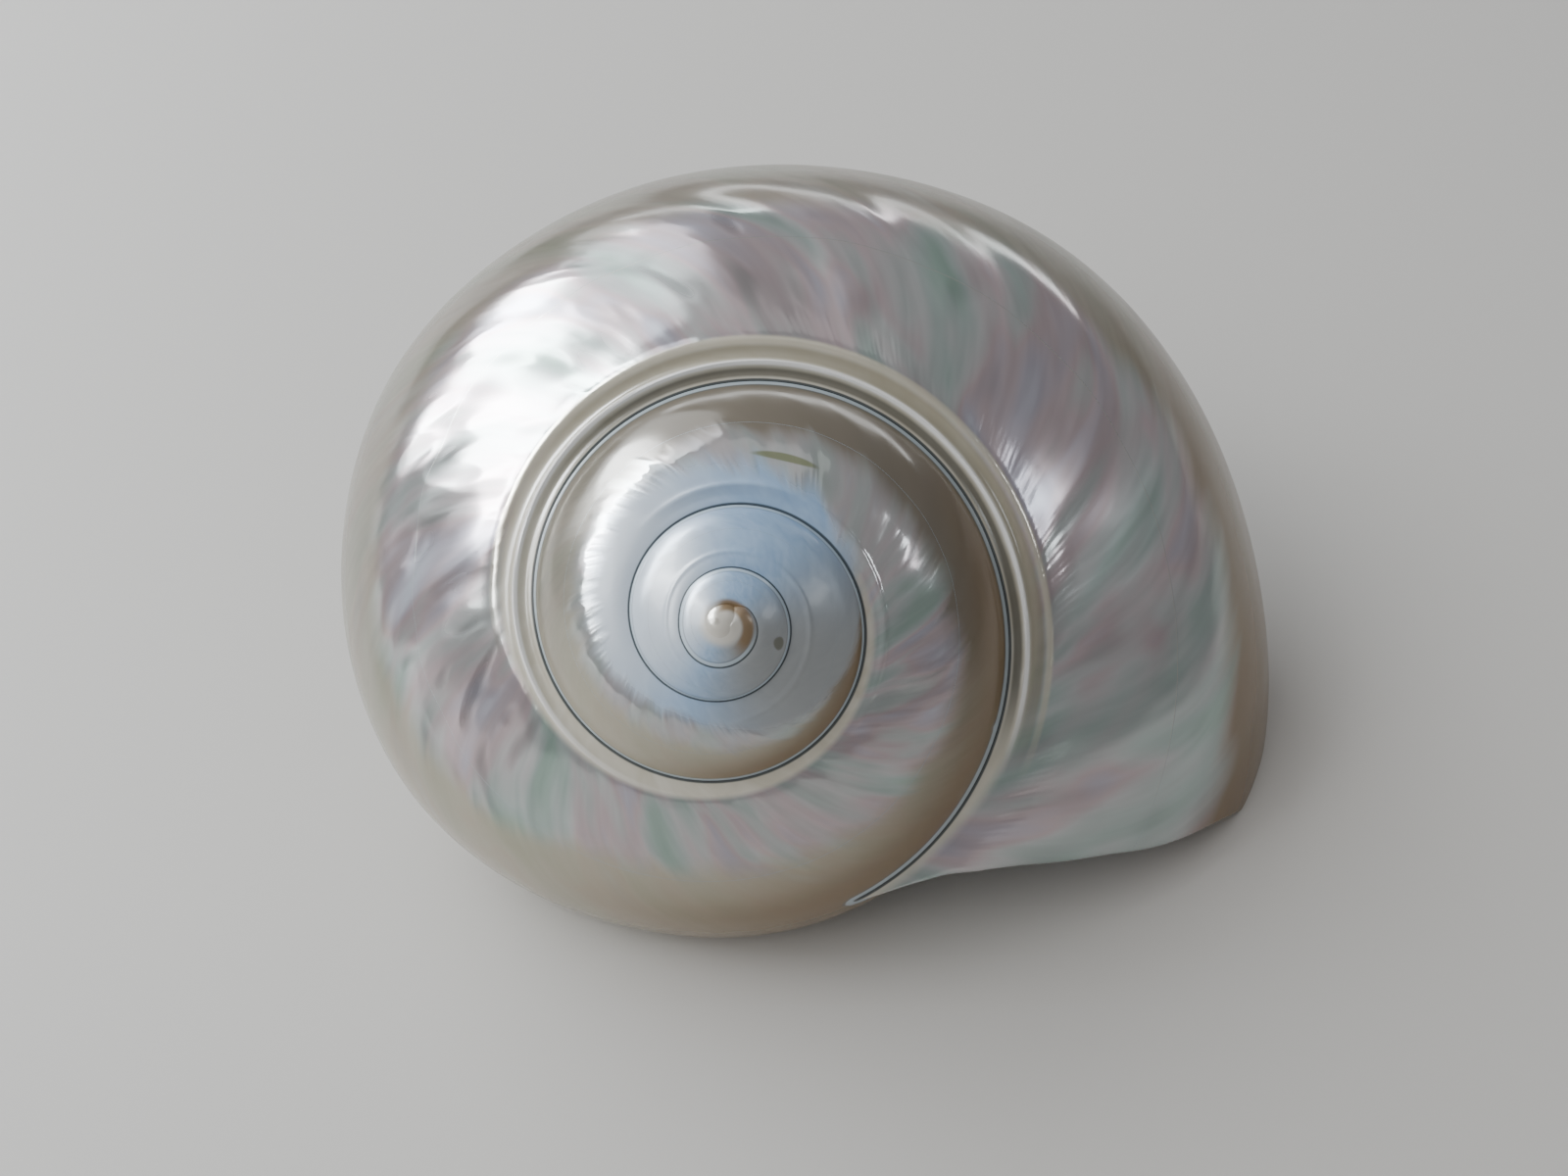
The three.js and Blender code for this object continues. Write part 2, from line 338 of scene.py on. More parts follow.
def profile_length(places):
    """Length along the profile from the suture, in growth sizes."""
    dense = np.linspace(0, 1, 2001)
    points = closed_spline(PROFILE, dense % 1.0)
    length = np.concatenate([[0], np.cumsum(np.linalg.norm(np.diff(points, axis=0), axis=1))])
    first = dense < 0.08            # the stretch in which the suture lies
    suture = np.interp(SUTURE_RHO, points[first, 0], length[first])
    return np.interp(places, dense, length) - suture


def collar_relief(t, collar_mm):
    """Cord, grooves and outer ridge beside the suture, strongest on the upper side."""
    degrees = t * 360
    body = between(COLLAR_RISE, COLLAR_FALL, degrees)
    strength = body + FAINT_SHARE * between(FAINT_RISE, FAINT_FALL, degrees)
    cord = (CREST_HEIGHT * bell(collar_mm, CREST_MM, CREST_WIDTH)
            - GROOVE_DEPTH * bell(collar_mm, GROOVE_MM, GROOVE_WIDTH))
    band = (RIDGE_HEIGHT * bell(collar_mm, RIDGE_MM, RIDGE_WIDTH)
            - TROUGH_DEPTH * bell(collar_mm, TROUGH_MM, TROUGH_WIDTH))
    return strength * cord + smoothstep(*OUTER_RIDGE_RISE, degrees) * body * band


def early_ridge(t, rho):
    """Soft ridge round the third whorl, with a flat band inside it."""
    strength = between(EARLY_RIDGE_RISE, EARLY_RIDGE_FALL, t * 360)
    height = EARLY_RIDGE_HEIGHT * growth_size(t)
    return strength * height * bell(rho, EARLY_RIDGE_RHO, EARLY_RIDGE_WIDTH)


def shelf(t, rho):
    """Flat shelf and rounded shoulder high on the whorl before the last."""
    strength = between(SHELF_RISE, SHELF_FALL, t * 360)
    inside = np.clip((rho - SUTURE_RHO) / (SHELF_RHO - SUTURE_RHO), 0, 1)
    outside = np.clip((SHELF_EDGE - rho) / (SHELF_EDGE - SHELF_RHO), 0, 1)
    hat = np.minimum(inside, outside)
    rounded = hat - SHELF_SOFT * np.log1p(np.exp((hat - SHELF_KNEE) / SHELF_SOFT))
    return strength * SHELF_HEIGHT * growth_size(t) * rounded


# hammered dents: short round the coil, longer along the slanting growth lines
BROAD_DENTS = random_waves(36, 8.0, 15.0, (1.0, 1.4))
FINE_DENTS = random_waves(36, 4.0, 7.0, (1.0, 1.4))
FINE_SHARE = 0.20


def dent_field(t, places):
    surface_mm = np.stack([(t + SLANT * places) * COIL_MM, places * ACROSS_MM], axis=-1)
    return wave_field(BROAD_DENTS, surface_mm) + FINE_SHARE * wave_field(FINE_DENTS, surface_mm)


def relief(turns, places):
    """Height of all the relief over the smooth surface, in millimetres."""
    t = turns + curve_through(EDGE_LEAD, places) / 360
    g = growth_size(t)
    rho = closed_spline(PROFILE, places % 1.0)[..., 0]
    collar_mm = profile_length(places) * g
    zone = between((0.075, 0.115), (0.22, 0.30), places) * curve_through(HAMMERED, t)
    dents = DENT_DEPTH * g / LIP_SHOULDER_RADIUS * zone * dent_field(t, places)
    return collar_relief(t, collar_mm) + early_ridge(t, rho) + shelf(t, rho) + dents


# ---- closed pieces of shell ----
def corner_vertices(mesh):
    """Index of the vertex at each corner of the faces."""
    corners = np.empty(len(mesh.loops), dtype=np.int32)
    mesh.loops.foreach_get("vertex_index", corners)
    return corners


def add_layer(mesh, name, values):
    layer = mesh.attributes.new(name, "FLOAT", "CORNER")
    layer.data.foreach_set("value", values.astype(np.float32))


def mesh_object(name, vertices, faces, vertex_values):
    """Blender object from arrays, with float values on the corners of its faces."""
    mesh = bpy.data.meshes.new(name)
    mesh.from_pydata(vertices.tolist(), [], faces)
    corners = corner_vertices(mesh)
    for key, values in vertex_values.items():
        add_layer(mesh, key, values[corners])
    piece = bpy.data.objects.new(name, mesh)
    bpy.context.scene.collection.objects.link(piece)
    return piece


def swept_piece(name, turns, places, points, skin):
    """Closed tube through a grid of points [growth line, place], with end caps."""
    rows, n = points.shape[:2]
    index = np.arange(rows * n).reshape(rows, n)
    a, b = index[:-1], np.roll(index, -1, axis=1)[:-1]
    c, d = np.roll(index, -1, axis=1)[1:], index[1:]
    faces = np.stack([a, d, c, b], axis=-1).reshape(-1, 4).tolist()
    vertices = points.reshape(-1, 3)
    hubs = [points[0].mean(axis=0), points[-1].mean(axis=0)]
    for k, (ring, turned) in enumerate(((index[0], False), (index[-1], True))):
        hub = rows * n + k
        for j in range(n):
            u, v = int(ring[j]), int(ring[(j + 1) % n])
            faces.append([hub, v, u] if turned else [hub, u, v])
    vertices = np.vstack([vertices, hubs])
    grid_turns = np.broadcast_to(turns[:, None], (rows, n)).ravel()
    grid_places = np.broadcast_to(places[None, :], (rows, n)).ravel()
    return mesh_object(name, vertices, faces, {
        "growth": np.append(grid_turns, [turns[0], turns[-1]]),
        "place": np.append(grid_places, [0.5, 0.5]),
        "skin": np.full(rows * n + 2, skin),
    })


def place_samples():
    places, start = [], 0.0
    for end, count in PLACE_SAMPLES:
        places.append(np.linspace(start, end, count, endpoint=False))
        start = end
    return np.concatenate(places)


def lip_distance(turns, places, profile):
    """Millimetres back from the lip, along the coil."""
    rho = np.maximum(closed_spline(profile, places % 1.0)[..., 0], 0.3)   # not on the axis
    return -turns * 2 * math.pi * growth_size(turns) * rho


def rounding(distance):
    """How far the surface draws in where it rounds over the lip's edge."""
    u = 1 - np.clip(distance / LIP_ROUND, 0, 1)
    return LIP_ROUND * (1 - np.sqrt(1 - u * u))


def outer_points(turns, places):
    t, s = np.meshgrid(turns, places, indexing="ij")
    lift = relief(t, s) - rounding(lip_distance(t, s, PROFILE))
    return surface_point(t, s, PROFILE) + lift[..., None] * surface_normal(t, s, PROFILE)


def hollow_points(turns, places):
    t, s = np.meshgrid(turns, places, indexing="ij")
    thinned = smoothstep(-LIP_THINNING_TURNS, 0.0, t) * between((0.0, 0.06), (0.55, 0.65), s)
    widen = LIP_THINNING * thinned + rounding(lip_distance(t, s, LUMEN))
    return surface_point(t, s, LUMEN) + widen[..., None] * surface_normal(t, s, LUMEN)


def rings_between(start, end):
    """Turns at which the whorl is sampled, closer where it rounds over the lip."""
    per_turn = next(n for limit, n in STEPS_PER_TURN if end > limit + 1e-6)
    rings = np.linspace(start, end, max(4, round((end - start) * per_turn)) + 1)
    if end == 0.0:
        rings = np.concatenate([rings[rings < -LIP_CLEAR], LIP_RINGS, [-0.0001, 0.0]])
    return rings


def whorl_pieces():
    places = place_samples()
    pieces, end = [], 0.0
    while end > -TURNS_BEFORE_LIP + 1e-6:
        start = max(end - PIECE_TURNS, -TURNS_BEFORE_LIP)
        turns = rings_between(start, end)
        pieces.append(swept_piece("whorl", turns, places, outer_points(turns, places),
                                  SKIN_OUTSIDE))
        end = start
    return pieces


def hollow_piece():
    places = np.linspace(0, 1, LUMEN_SAMPLES, endpoint=False)
    turns = np.concatenate([
        np.linspace(-LUMEN_TURNS, -0.004, LUMEN_STEPS), LIP_RINGS, [0.0, 0.006],
        np.linspace(0.012, LUMEN_OVERRUN, 8),
    ])
    return swept_piece("hollow", turns, places, hollow_points(turns, places), SKIN_HOLLOW)


def solid_piece(name, build, skin, growth=HIDDEN_GROWTH):
    """Closed piece made by a bmesh operator, in millimetres."""
    bm = bmesh.new()
    build(bm)
    vertices = np.array([v.co[:] for v in bm.verts])
    faces = [[v.index for v in face.verts] for face in bm.faces]
    bm.free()
    return mesh_object(name, vertices, faces, {
        "growth": np.full(len(vertices), growth),
        "place": np.full(len(vertices), SOLID_PLACE),
        "skin": np.full(len(vertices), skin),
    })


def pillar_pieces():
    """Columella cone and the rounded pad that closes the navel."""
    top, bottom = COLUMELLA_TOP, COLUMELLA_TOP + COLUMELLA_LENGTH
    turn = Vector((0, 0, 1)).rotation_difference(Vector(AXIS)).to_matrix().to_4x4()
    middle = Matrix.Translation(APEX - AXIS * (top + bottom) / 2) @ turn
    pad = Matrix.Translation(APEX - AXIS * NAVEL_DEPTH)
    cone = solid_piece("columella", lambda bm: bmesh.ops.create_cone(
        bm, cap_ends=True, segments=64, radius1=bottom * COLUMELLA_TAPER,
        radius2=top * COLUMELLA_TAPER, depth=COLUMELLA_LENGTH, matrix=middle), SKIN_OUTSIDE)
    ball = solid_piece("navel", lambda bm: bmesh.ops.create_icosphere(
        bm, subdivisions=4, radius=NAVEL_RADIUS, matrix=pad), SKIN_OUTSIDE)
    return [cone, ball]


def nucleus_piece():
    """Smooth dome over the very first whorl, on the coil axis."""
    dome = Matrix.Translation(APEX - AXIS * NUCLEUS_DEPTH)
    return solid_piece("nucleus", lambda bm: bmesh.ops.create_icosphere(
        bm, subdivisions=5, radius=NUCLEUS_RADIUS, matrix=dome), SKIN_OUTSIDE, NUCLEUS_GROWTH)


def table_slab():
    """Block below the table's top, which cuts the shell off level."""
    size = Matrix.Diagonal((SLAB_SIZE, SLAB_SIZE, SLAB_DEPTH, 1))
    below = Matrix.Translation((0, 0, -SLAB_DEPTH / 2)) @ size
    return solid_piece("slab", lambda bm: bmesh.ops.create_cube(bm, matrix=below), SKIN_CUT)


def combine(target, other, operation):
    """Exact boolean of two closed pieces; the second one is used up."""
    modifier = target.modifiers.new(operation, "BOOLEAN")
    modifier.operation, modifier.solver, modifier.object = operation, "MANIFOLD", other
    evaluated = target.evaluated_get(bpy.context.evaluated_depsgraph_get())
    result = bpy.data.meshes.new_from_object(evaluated)
    target.modifiers.clear()
    used = [target.data, other.data]
    target.data = result
    bpy.data.objects.remove(other)
    for mesh in used:
        bpy.data.meshes.remove(mesh)


def read_floats(owner, count, key="value"):
    values = np.empty(count, dtype=np.float32)
    owner.foreach_get(key, values)
    return values


def vertex_positions(mesh):
    return read_floats(mesh.vertices, 3 * len(mesh.vertices), "co").reshape(-1, 3)


def face_means(mesh, corner_values):
    starts = np.empty(len(mesh.polygons), dtype=np.int32)
    mesh.polygons.foreach_get("loop_start", starts)
    totals = np.add.reduceat(corner_values, starts)
    return totals / np.diff(np.append(starts, len(mesh.loops)))


def mark_edges(mesh, growth, skin):
    """Find the suture edges between two whorls, and mark all hard edges sharp."""
    face_growth = face_means(mesh, growth)
    face_skin = face_means(mesh, skin)
    bm = bmesh.new()
    bm.from_mesh(mesh)
    sutures = []
    for edge in bm.edges:
        if len(edge.link_faces) != 2:
            continue
        one, two = (face.index for face in edge.link_faces)
        whorl_step = abs(face_growth[one] - face_growth[two]) > 0.5
        outside = face_skin[one] < 0.5 and face_skin[two] < 0.5
        if whorl_step and outside:
            sutures.append((edge.verts[0].co.copy(), edge.verts[1].co.copy()))
        edge.smooth = not (whorl_step or edge.calc_face_angle(0.0) > math.radians(SHARP_ANGLE))
    bm.to_mesh(mesh)
    bm.free()
    return sutures


def suture_distance(positions, sutures):
    """Millimetres from each vertex to the nearest point of a suture."""
    points = []
    for a, b in sutures:
        pieces = max(1, int((b - a).length / SUTURE_STEP))
        points.extend(a.lerp(b, k / pieces) for k in range(pieces + 1))
    tree = KDTree(len(points))
    for i, point in enumerate(points):
        tree.insert(point, i)
    tree.balance()
    return np.array([tree.find(p)[2] for p in positions])


def describe_surface(mesh):
    """Corner values for the material: age, places past each zone, collar and suture distance."""
    count = len(mesh.loops)
    growth = read_floats(mesh.attributes["growth"].data, count)
    place = read_floats(mesh.attributes["place"].data, count)
    skin = read_floats(mesh.attributes["skin"].data, count)
    sutures = mark_edges(mesh, growth, skin)
    distance = suture_distance(vertex_positions(mesh), sutures)[corner_vertices(mesh)]
    age = growth + curve_through(EDGE_LEAD, place) / 360
    add_layer(mesh, "age", age)
    for name, zone_end in (("past_nacre", NACRE_END), ("past_collar", COLLAR_END),
                           ("past_porcelain", PORCELAIN_END)):
        add_layer(mesh, name, place - curve_through(zone_end, age))
    add_layer(mesh, "collar", profile_length(place) * growth_size(age))
    add_layer(mesh, "suture", np.where(place > SUTURE_SIDE, -distance, distance))


def describe_tip(mesh):
    """Corner masks for the first whorl: white tip (a painted highlight), brown crescent and pit.
    """
    corners = corner_vertices(mesh)
    from_apex = vertex_positions(mesh) - APEX
    x, y = from_apex @ RIGHT, from_apex @ DOWN
    radius, angle = np.hypot(x, y), np.degrees(np.arctan2(y, x))
    middle = CRESCENT_RADIUS + CRESCENT_DRIFT * angle
    crescent = (between(CRESCENT_START, CRESCENT_END, angle)
                * (1 - smoothstep(*CRESCENT_FADE, np.abs(radius - middle))))
    # painted highlight: white disc round the apex
    tip_highlight = 1 - smoothstep(*TIP_FADE, radius)
    pit = 1 - smoothstep(*PIT_FADE, np.hypot(x - PIT_RIGHT, y - PIT_DOWN))
    near = np.linalg.norm(from_apex, axis=1) < TIP_REACH
    for name, values in (("tip_highlight", tip_highlight), ("crescent", crescent), ("pit", pit)):
        add_layer(mesh, name, (values * near)[corners])


def settle_in_cad_box(mesh):
    """Centre the shell as the CAD does, just inside the CAD solid's box; give the apex."""
    points = vertex_positions(mesh).astype(float)
    low, high = points.min(axis=0), points.max(axis=0)
    shift = np.array([(low[0] + high[0]) / 2, (low[1] + high[1]) / 2, low[2]])
    cad_low, cad_high = (np.array(corner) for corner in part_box("turban_shell"))
    scale = min(1.0, float(np.min((cad_high - cad_low) * MM / (high - low)))) * BOX_SCALE
    points = (points - shift) * scale / MM
    mesh.vertices.foreach_set("co", points.astype(np.float32).ravel())
    mesh.update()
    return Vector((APEX - shift) * scale / MM)


def keep_largest_part(mesh):
    """Drop the closed specks that the union leaves inside the walls."""
    bm = bmesh.new()
    bm.from_mesh(mesh)
    unseen, largest = set(bm.verts), set()
    while unseen:
        part, edge_of = set(), [unseen.pop()]
        while edge_of:
            vertex = edge_of.pop()
            part.add(vertex)
            for near in (e.other_vert(vertex) for e in vertex.link_edges):
                if near in unseen:
                    unseen.remove(near)
                    edge_of.append(near)
        largest = max(largest, part, key=len)
    bmesh.ops.delete(bm, geom=[v for v in bm.verts if v not in largest], context="VERTS")
    bm.to_mesh(mesh)
    bm.free()


def make_shell():
    whorls = whorl_pieces()
    shell = whorls.pop(0)
    for piece in whorls + [nucleus_piece()] + pillar_pieces():
        combine(shell, piece, "UNION")
    combine(shell, hollow_piece(), "DIFFERENCE")
    combine(shell, table_slab(), "DIFFERENCE")
    shell.name = shell.data.name = "nacre_shell"
    mesh = shell.data
    keep_largest_part(mesh)
    mesh.polygons.foreach_set("use_smooth", [True] * len(mesh.polygons))
    describe_surface(mesh)
    describe_tip(mesh)
    return shell, settle_in_cad_box(mesh)


# ---- nacre ----
def paint(red, green, blue):
    """Linear colour with alpha, from the 0 to 255 values of a colour chart."""
    def linear(c):
        c = c / 255
        return c / 12.92 if c <= 0.04045 else ((c + 0.055) / 1.055) ** 2.4
    return (linear(red), linear(green), linear(blue), 1.0)


class NodeKit:
    """Short names for the few node kinds that the nacre is built from."""

    def __init__(self, material):
        material.use_nodes = True
        self.tree = material.node_tree
        self.shader = self.tree.nodes["Principled BSDF"]

    def put(self, kind, values, **settings):
        node = self.tree.nodes.new(kind)
        for key, value in settings.items():
            setattr(node, key, value)
        for socket, value in values.items():
            if isinstance(value, bpy.types.NodeSocket):
                self.tree.links.new(value, node.inputs[socket])
            else:
                node.inputs[socket].default_value = value
        return node

    def layer(self, name):
        return self.put("ShaderNodeAttribute", {}, attribute_name=name).outputs["Fac"]

    def calc(self, operation, *values):
        node = self.put("ShaderNodeMath", dict(enumerate(values)), operation=operation)
        return node.outputs[0]

    def fade(self, x, start, end, low=0.0, high=1.0):
        values = {0: x, 1: start, 2: end, 3: low, 4: high}
        return self.put("ShaderNodeMapRange", values,
                        interpolation_type="SMOOTHSTEP").outputs[0]

    def line(self, x, centre, width, soft):
        """1 within `width` of the centre, falling to 0 over `soft`."""
        away = self.calc("ABSOLUTE", self.calc("SUBTRACT", x, centre))
        return self.fade(away, width, width + soft, 1.0, 0.0)

    def side(self, turns, towards, start, end):
        """1 on the side of the coil that faces `towards` (radians on from the lip)."""
        facing = self.calc("SUBTRACT", self.both(turns, 2 * math.pi), towards)
        return self.fade(self.calc("COSINE", facing), start, end)

    def both(self, *values):
        result = values[0]
        for value in values[1:]:
            result = self.calc("MULTIPLY", result, value)
        return result

    def stretch(self, x, y, z, sizes):
        """Vector of the three values, each divided by its own feature size."""
        scaled = [self.calc("DIVIDE", value, size) for value, size in zip((x, y, z), sizes)]
        return self.put("ShaderNodeCombineXYZ", dict(enumerate(scaled))).outputs[0]

    def noise(self, vector, detail=2.0, roughness=0.5, distortion=0.0):
        values = {"Vector": vector, "Scale": 1.0, "Detail": detail,
                  "Roughness": roughness, "Distortion": distortion}
        return self.put("ShaderNodeTexNoise", values).outputs[0]

    def mix(self, amount, one, two, blend="MIX"):
        node = self.put("ShaderNodeMix", {0: amount, 6: one, 7: two},
                        data_type="RGBA", blend_type=blend)
        return node.outputs[2]

    def ramp(self, x, stops):
        node = self.put("ShaderNodeValToRGB", {0: x})
        elements = node.color_ramp.elements
        while len(elements) < len(stops):
            elements.new(1.0)
        for element, (position, colour) in zip(elements, stops):
            element.position, element.color = position, colour
        return node.outputs[0]


def pearl_colour(kit, patches, streaks):
    """Silvery nacre, in broad soft patches of pink, lilac and green."""
    hue = kit.calc("ADD", kit.both(patches, 0.70), kit.both(streaks, 0.30))
    return kit.ramp(hue, [
        (0.34, paint(154, 176, 166)), (0.42, paint(170, 182, 179)),
        (0.49, paint(182, 183, 183)), (0.55, paint(184, 169, 172)),
        (0.62, paint(172, 168, 178)), (0.70, paint(182, 188, 198)),
    ])


def suture_paint(kit, colour, layers):
    """Thin dark seam, the pale edge inside it (a painted highlight), and the collar's ridges
    with painted highlight and shade.
    """
    suture, age = layers["suture"], layers["age"]
    seam = kit.fade(age, -4.1, -3.9)
    upper = kit.both(kit.fade(age, -0.80, -0.55), kit.fade(age, -0.03, 0.03, 1.0, 0.0))
    right = kit.both(kit.fade(age, -0.52, -0.36), kit.fade(age, -0.03, 0.03, 1.0, 0.0))
    early = kit.fade(age, -2.2, -0.9, 0.55, 1.25)
    scaled = kit.calc("DIVIDE", suture, early)
    ridge = kit.both(upper, kit.fade(age, -0.62, -0.48))
    marks = [
        # painted shade: darker in the groove between the seam and the cord, on the right side
        # only
        (kit.both(kit.line(suture, 0.60, 0.16, 0.30), right, 0.85), paint(92, 89, 78)),
        # painted highlight: white line along the crest of the cord, on the upper side
        (kit.both(kit.line(suture, 1.27, 0.10, 0.18), upper, 0.95), paint(250, 250, 249)),
        # painted shade: browner in the trough outside the cord, on the right side only
        (kit.both(kit.line(suture, 2.05, 0.30, 0.40), right, 0.70), paint(144, 137, 116)),
        (kit.both(kit.line(suture, 2.95, 0.12, 0.30), ridge, 0.70), paint(214, 208, 188)),
        (kit.both(kit.line(scaled, -0.72, 0.04, 0.10), seam, 0.40), paint(96, 106, 112)),
        # painted highlight: pale blue edge on the older whorl beside the seam
        (kit.both(kit.line(scaled, -0.36, 0.18, 0.14), seam, 0.80), paint(194, 211, 223)),
        (kit.both(kit.line(scaled, 0.0, 0.08, 0.09), seam, 0.90), paint(44, 56, 63)),
    ]
    for amount, shade in marks:
        colour = kit.mix(amount, colour, shade)
    return colour


def small_mark(kit, layers, mark):
    """1 inside a little oval on the shell, 0 outside."""
    turns, place, length, width = mark
    x = kit.calc("DIVIDE", kit.calc("SUBTRACT", layers["age"], turns), length / 2)
    y = kit.calc("DIVIDE", kit.calc("SUBTRACT", layers["place"], place), width / 2)
    away = kit.calc("ADD", kit.both(x, x), kit.both(y, y))
    return kit.fade(away, 0.6, 1.4, 1.0, 0.0)


def finish_zones(kit, layers, streaks, threads):
    """Shares of cream band, porcelain, collar and bare pearl, with wandering borders."""
    wander = kit.calc("SUBTRACT", kit.both(streaks, 0.6), 0.3)
    edge = kit.calc("ADD", layers["past_nacre"], kit.both(wander, 0.10))
    band = kit.fade(edge, -0.020, 0.026)
    jag = kit.calc("ADD", wander, kit.calc("SUBTRACT", kit.both(threads, 0.12), 0.06))
    rim = kit.calc("ADD", layers["past_porcelain"], kit.both(jag, 0.07))
    porcelain = kit.fade(rim, -0.020, 0.022, 1.0, 0.0)
    collar = kit.both(kit.fade(layers["past_collar"], -0.005, 0.010, 1.0, 0.0),
                      kit.fade(layers["age"], -1.3, -1.0))
    covered = kit.calc("MAXIMUM", kit.calc("MAXIMUM", band, porcelain), collar)
    return band, porcelain, collar, kit.calc("SUBTRACT", 1.0, covered)


def pearl_paint(kit, age, noises, spots):
    """Nacre with streaks and darker spots, plain silver on the early whorls."""
    streaks, threads = noises["streaks"], noises["threads"]
    shade = kit.both(kit.fade(streaks, 0.30, 0.70, 0.90, 1.10),
                     kit.fade(threads, 0.30, 0.70, 0.96, 1.04))
    shade = kit.both(shade, kit.calc("SUBTRACT", 1.0, kit.both(spots, 0.62)))
    grey = kit.put("ShaderNodeCombineXYZ", {0: shade, 1: shade, 2: shade}).outputs[0]
    pearl = kit.mix(1.0, pearl_colour(kit, noises["patches"], streaks), grey, "MULTIPLY")
    silver = kit.both(kit.fade(age, -1.18, -1.02, 1.0, 0.0), 0.6)
    return kit.mix(silver, pearl, paint(188, 190, 190))


def band_paint(kit, age, place, noises, pearl):
    """Cream side of the whorls, with painted light and shade: paler in front, greyer inside,
    golden on the right.
    """
    veins = kit.fade(noises["threads"], 0.30, 0.70, 0.3, 0.7)
    tone = kit.calc("ADD", kit.both(noises["clouds"], 0.7), kit.both(veins, 0.3))
    band = kit.ramp(tone, [(0.30, paint(116, 110, 92)), (0.70, paint(134, 127, 107))])
    # painted light: the band is paler on the side of the coil that faces the front
    band = kit.mix(kit.both(kit.side(age, 1.45, 0.0, 0.9), 0.8), band, paint(182, 174, 150))
    band = kit.mix(0.20, band, pearl)
    # painted shade: greyer on the top and right of the whorl before the last
    inner_whorl_shade = kit.both(kit.fade(age, -1.08, -0.98, 1.0, 0.0), kit.fade(age, -1.9, -1.7))
    band = kit.mix(kit.both(kit.side(age, -1.17, -0.4, 0.5), inner_whorl_shade, 0.9), band,
                   paint(118, 110, 98))
    # painted shade and a painted brown reflection: golden on the right side of the coil
    golden_shade_reflection = kit.both(kit.side(age, 0.35, -0.1, 0.9), kit.fade(place, 0.15, 0.27),
                    kit.fade(place, 0.32, 0.46, 0.85, 0.20))
    return kit.mix(golden_shade_reflection, band, paint(124, 98, 62))


def porcelain_paint(kit, age, clouds):
    """Pale blue of the early whorls, with painted light and shade: whiter on the left, beige on
    the right.
    """
    blue = kit.ramp(clouds, [(0.30, paint(146, 178, 214)), (0.70, paint(167, 196, 227))])
    # painted light: whiter on the left side of the coil, painted shade: beige on the right
    left = kit.both(kit.side(age, 3.0, 0.0, 1.0), 0.85)
    right = kit.both(kit.side(age, 0.20, 0.0, 1.0), 0.75)
    lit_whiter = kit.mix(left, blue, paint(214, 224, 234))
    return kit.mix(right, lit_whiter, paint(160, 154, 140))


def paint_marks(kit, colour, layers):
    """Marks of the tip, its white a painted highlight, and the two small ovals."""
    # painted highlight: the white on the tip
    for name, amount, tint in (("tip_highlight", 0.9, paint(222, 218, 208)),
                               ("crescent", 0.9, paint(138, 112, 76)),
                               ("pit", 0.8, paint(112, 108, 98))):
        colour = kit.mix(kit.both(kit.layer(name), amount), colour, tint)
    for mark, tint in ((GREY_SPOT, paint(104, 104, 88)), (OLIVE_FLECK, paint(122, 128, 86))):
        colour = kit.mix(kit.both(small_mark(kit, layers, mark), 0.8), colour, tint)
    return colour


def surface_roughness(kit, age, streaks, spots, porcelain_zone, pearl_zone):
    inner_pearl = kit.both(pearl_zone, kit.fade(age, -1.2, -1.0, 1.0, 0.0))
    rough = kit.calc("SUBTRACT", BASE_ROUGHNESS, kit.both(pearl_zone, 0.01))
    rough = kit.calc("ADD", rough, kit.both(porcelain_zone, 0.16))
    rough = kit.calc("ADD", rough, kit.both(spots, 0.12))
    rough = kit.calc("SUBTRACT", rough, kit.both(inner_pearl, 0.06))
    return kit.calc("ADD", rough, kit.fade(streaks, 0.35, 0.65, -0.03, 0.04))


def fine_bumps(kit, layers, noises, spots, pearl_zone):
    """Dimples and streaks of the nacre, too fine for the mesh."""
    streaks, threads = noises["streaks"], noises["threads"]
    fringe = kit.both(kit.line(layers["collar"], 4.2, 0.6, 1.6),
                      kit.fade(layers["age"], -0.45, -0.25), pearl_zone)
    height = kit.calc("ADD", kit.both(noises["dimples"], pearl_zone, 1.0),
                      kit.both(streaks, pearl_zone, 0.55))
    height = kit.calc("ADD", height, kit.both(threads, fringe, 0.5))
    height = kit.calc("ADD", height, kit.both(threads, pearl_zone, 0.07))
    height = kit.calc("SUBTRACT", height, kit.both(spots, 0.9))
    return kit.put("ShaderNodeBump", {"Height": height, "Distance": BUMP_DISTANCE,
                                      "Strength": BUMP_STRENGTH}).outputs[0]


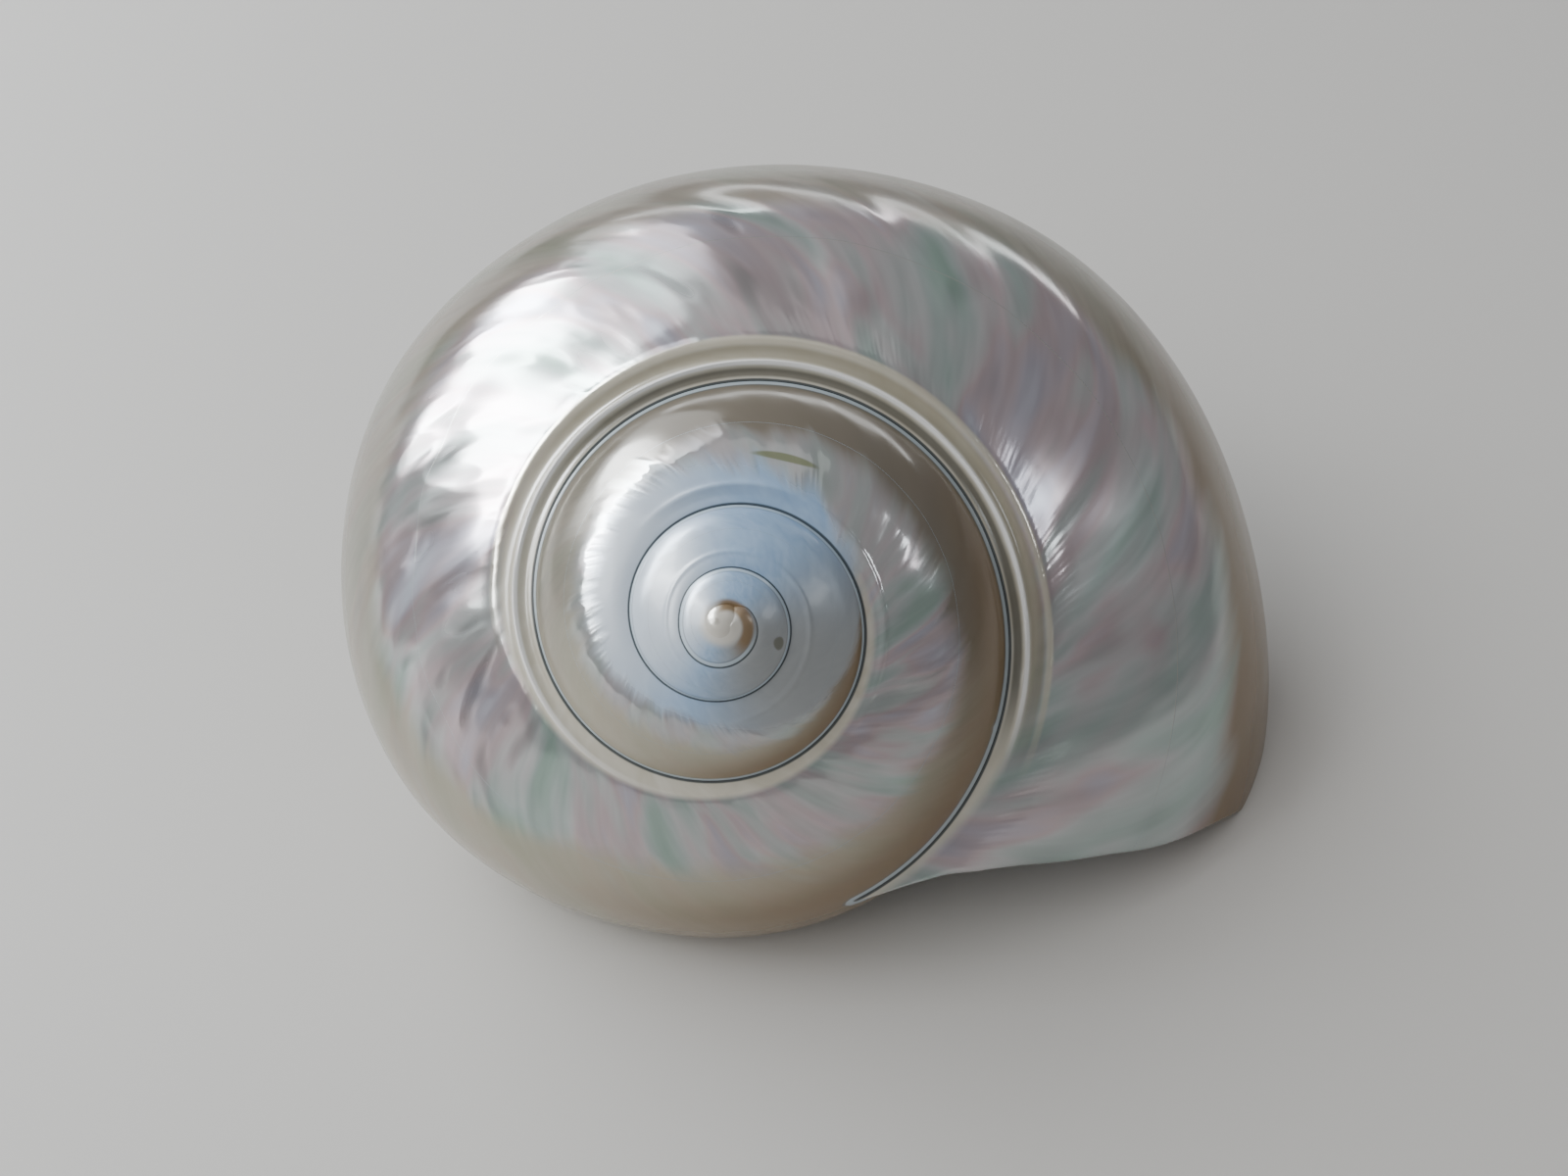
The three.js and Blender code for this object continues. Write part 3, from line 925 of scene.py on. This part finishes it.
def nacre_material():
    material = bpy.data.materials.new("nacre")
    kit = NodeKit(material)
    names = ("place", "age", "collar", "suture", "past_collar", "past_nacre", "past_porcelain")
    layers = {name: kit.layer(name) for name in names}
    age, place = layers["age"], layers["place"]
    along = kit.both(kit.calc("ADD", age, kit.both(place, SLANT)), COIL_MM)
    across = kit.both(place, ACROSS_MM)
    noises = {name: kit.noise(kit.stretch(along, across, depth, sizes), *settings)
              for name, (depth, sizes, *settings) in NOISES.items()}
    streaks, threads, clouds = noises["streaks"], noises["threads"], noises["clouds"]

    band_zone, porcelain_zone, collar_zone, pearl_zone = finish_zones(
        kit, layers, streaks, threads)
    hammered = kit.both(kit.fade(age, -0.72, -0.60), kit.fade(age, -0.36, -0.22, 1.0, 0.25))
    spots = kit.both(kit.fade(noises["dimples"], 0.50, 0.80), hammered, pearl_zone)

    pearl = pearl_paint(kit, age, noises, spots)
    cream = kit.ramp(clouds, [(0.30, paint(196, 190, 173)), (0.70, paint(212, 208, 195))])
    colour = kit.mix(collar_zone, pearl, cream)
    colour = kit.mix(band_zone, colour, band_paint(kit, age, place, noises, pearl))
    colour = kit.mix(porcelain_zone, colour, porcelain_paint(kit, age, clouds))
    colour = paint_marks(kit, suture_paint(kit, colour, layers), layers)

    metal = kit.calc("ADD", kit.both(pearl_zone, PEARL_METAL), kit.both(band_zone, BAND_METAL))
    rough = surface_roughness(kit, age, streaks, spots, porcelain_zone, pearl_zone)
    bumps = fine_bumps(kit, layers, noises, spots, pearl_zone)
    for value, socket in ((colour, "Base Color"), (rough, "Roughness"), (metal, "Metallic"),
                          (bumps, "Normal")):
        kit.tree.links.new(value, kit.shader.inputs[socket])
    for socket, value in COAT.items():
        kit.shader.inputs[socket].default_value = value
    return material


# ---- floor, light and camera ----
def make_floor():
    bm = bmesh.new()
    bmesh.ops.create_grid(bm, x_segments=24, y_segments=24, size=FLOOR_SIZE / 2)
    mesh = bpy.data.meshes.new("floor")
    bm.to_mesh(mesh)
    bm.free()
    floor = bpy.data.objects.new("floor", mesh)
    bpy.context.scene.collection.objects.link(floor)
    material = bpy.data.materials.new("pale_floor")
    material.use_nodes = True
    shader = material.node_tree.nodes["Principled BSDF"]
    shader.inputs["Base Color"].default_value = FLOOR_COLOUR
    shader.inputs["Roughness"].default_value = FLOOR_ROUGHNESS
    mesh.materials.append(material)


def softbox(target, name, azimuth, elevation, distance, size, watts, colour, gloss):
    """Area light at an azimuth (0 is +Y, 90 is +X); with `gloss`, it shows only as gloss."""
    a, e = math.radians(azimuth), math.radians(elevation)
    away = Vector((math.sin(a) * math.cos(e), math.cos(a) * math.cos(e), math.sin(e)))
    light = bpy.data.lights.new(name, "AREA")
    light.shape, light.size, light.size_y = "RECTANGLE", size[0], size[1]
    light.energy, light.color = watts, colour
    lamp = bpy.data.objects.new(name, light)
    lamp.location = target + away * distance
    lamp.rotation_euler = away.to_track_quat("Z", "Y").to_euler()
    lamp.visible_camera = False
    lamp.visible_diffuse = not gloss
    bpy.context.scene.collection.objects.link(lamp)


def make_lights():
    """Soft lights of the table above, and a dim even surrounding."""
    for light in LIGHTS:
        softbox(Vector(LIGHT_TARGET), *light)
    world = bpy.data.worlds.new("studio")
    world.use_nodes = True
    background = world.node_tree.nodes["Background"]
    background.inputs["Color"].default_value = WORLD_COLOUR
    background.inputs["Strength"].default_value = WORLD_STRENGTH
    bpy.context.scene.world = world


def make_camera(apex):
    """Looks down at the shell as the photograph does; the apex is a little off centre."""
    pitch = math.radians(CAMERA_PITCH)
    forward = Vector((0, math.cos(pitch), -math.sin(pitch)))
    down = Vector((0, -math.sin(pitch), -math.cos(pitch)))
    right = Vector((1, 0, 0))
    offset = right * APEX_RIGHT + down * APEX_DOWN + forward
    data = bpy.data.cameras.new("camera")
    data.sensor_width, data.lens = SENSOR, LENS
    data.clip_start = CLIP_START
    camera = bpy.data.objects.new("camera", data)
    camera.location = apex - offset * APEX_DEPTH
    camera.rotation_euler = (math.pi / 2 - pitch, 0, 0)
    bpy.context.scene.collection.objects.link(camera)
    bpy.context.scene.camera = camera


shell, apex = make_shell()
shell.data.materials.clear()
shell.data.materials.append(nacre_material())
make_floor()
make_lights()
make_camera(apex)

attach(shell, "root")
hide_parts("turban_shell")
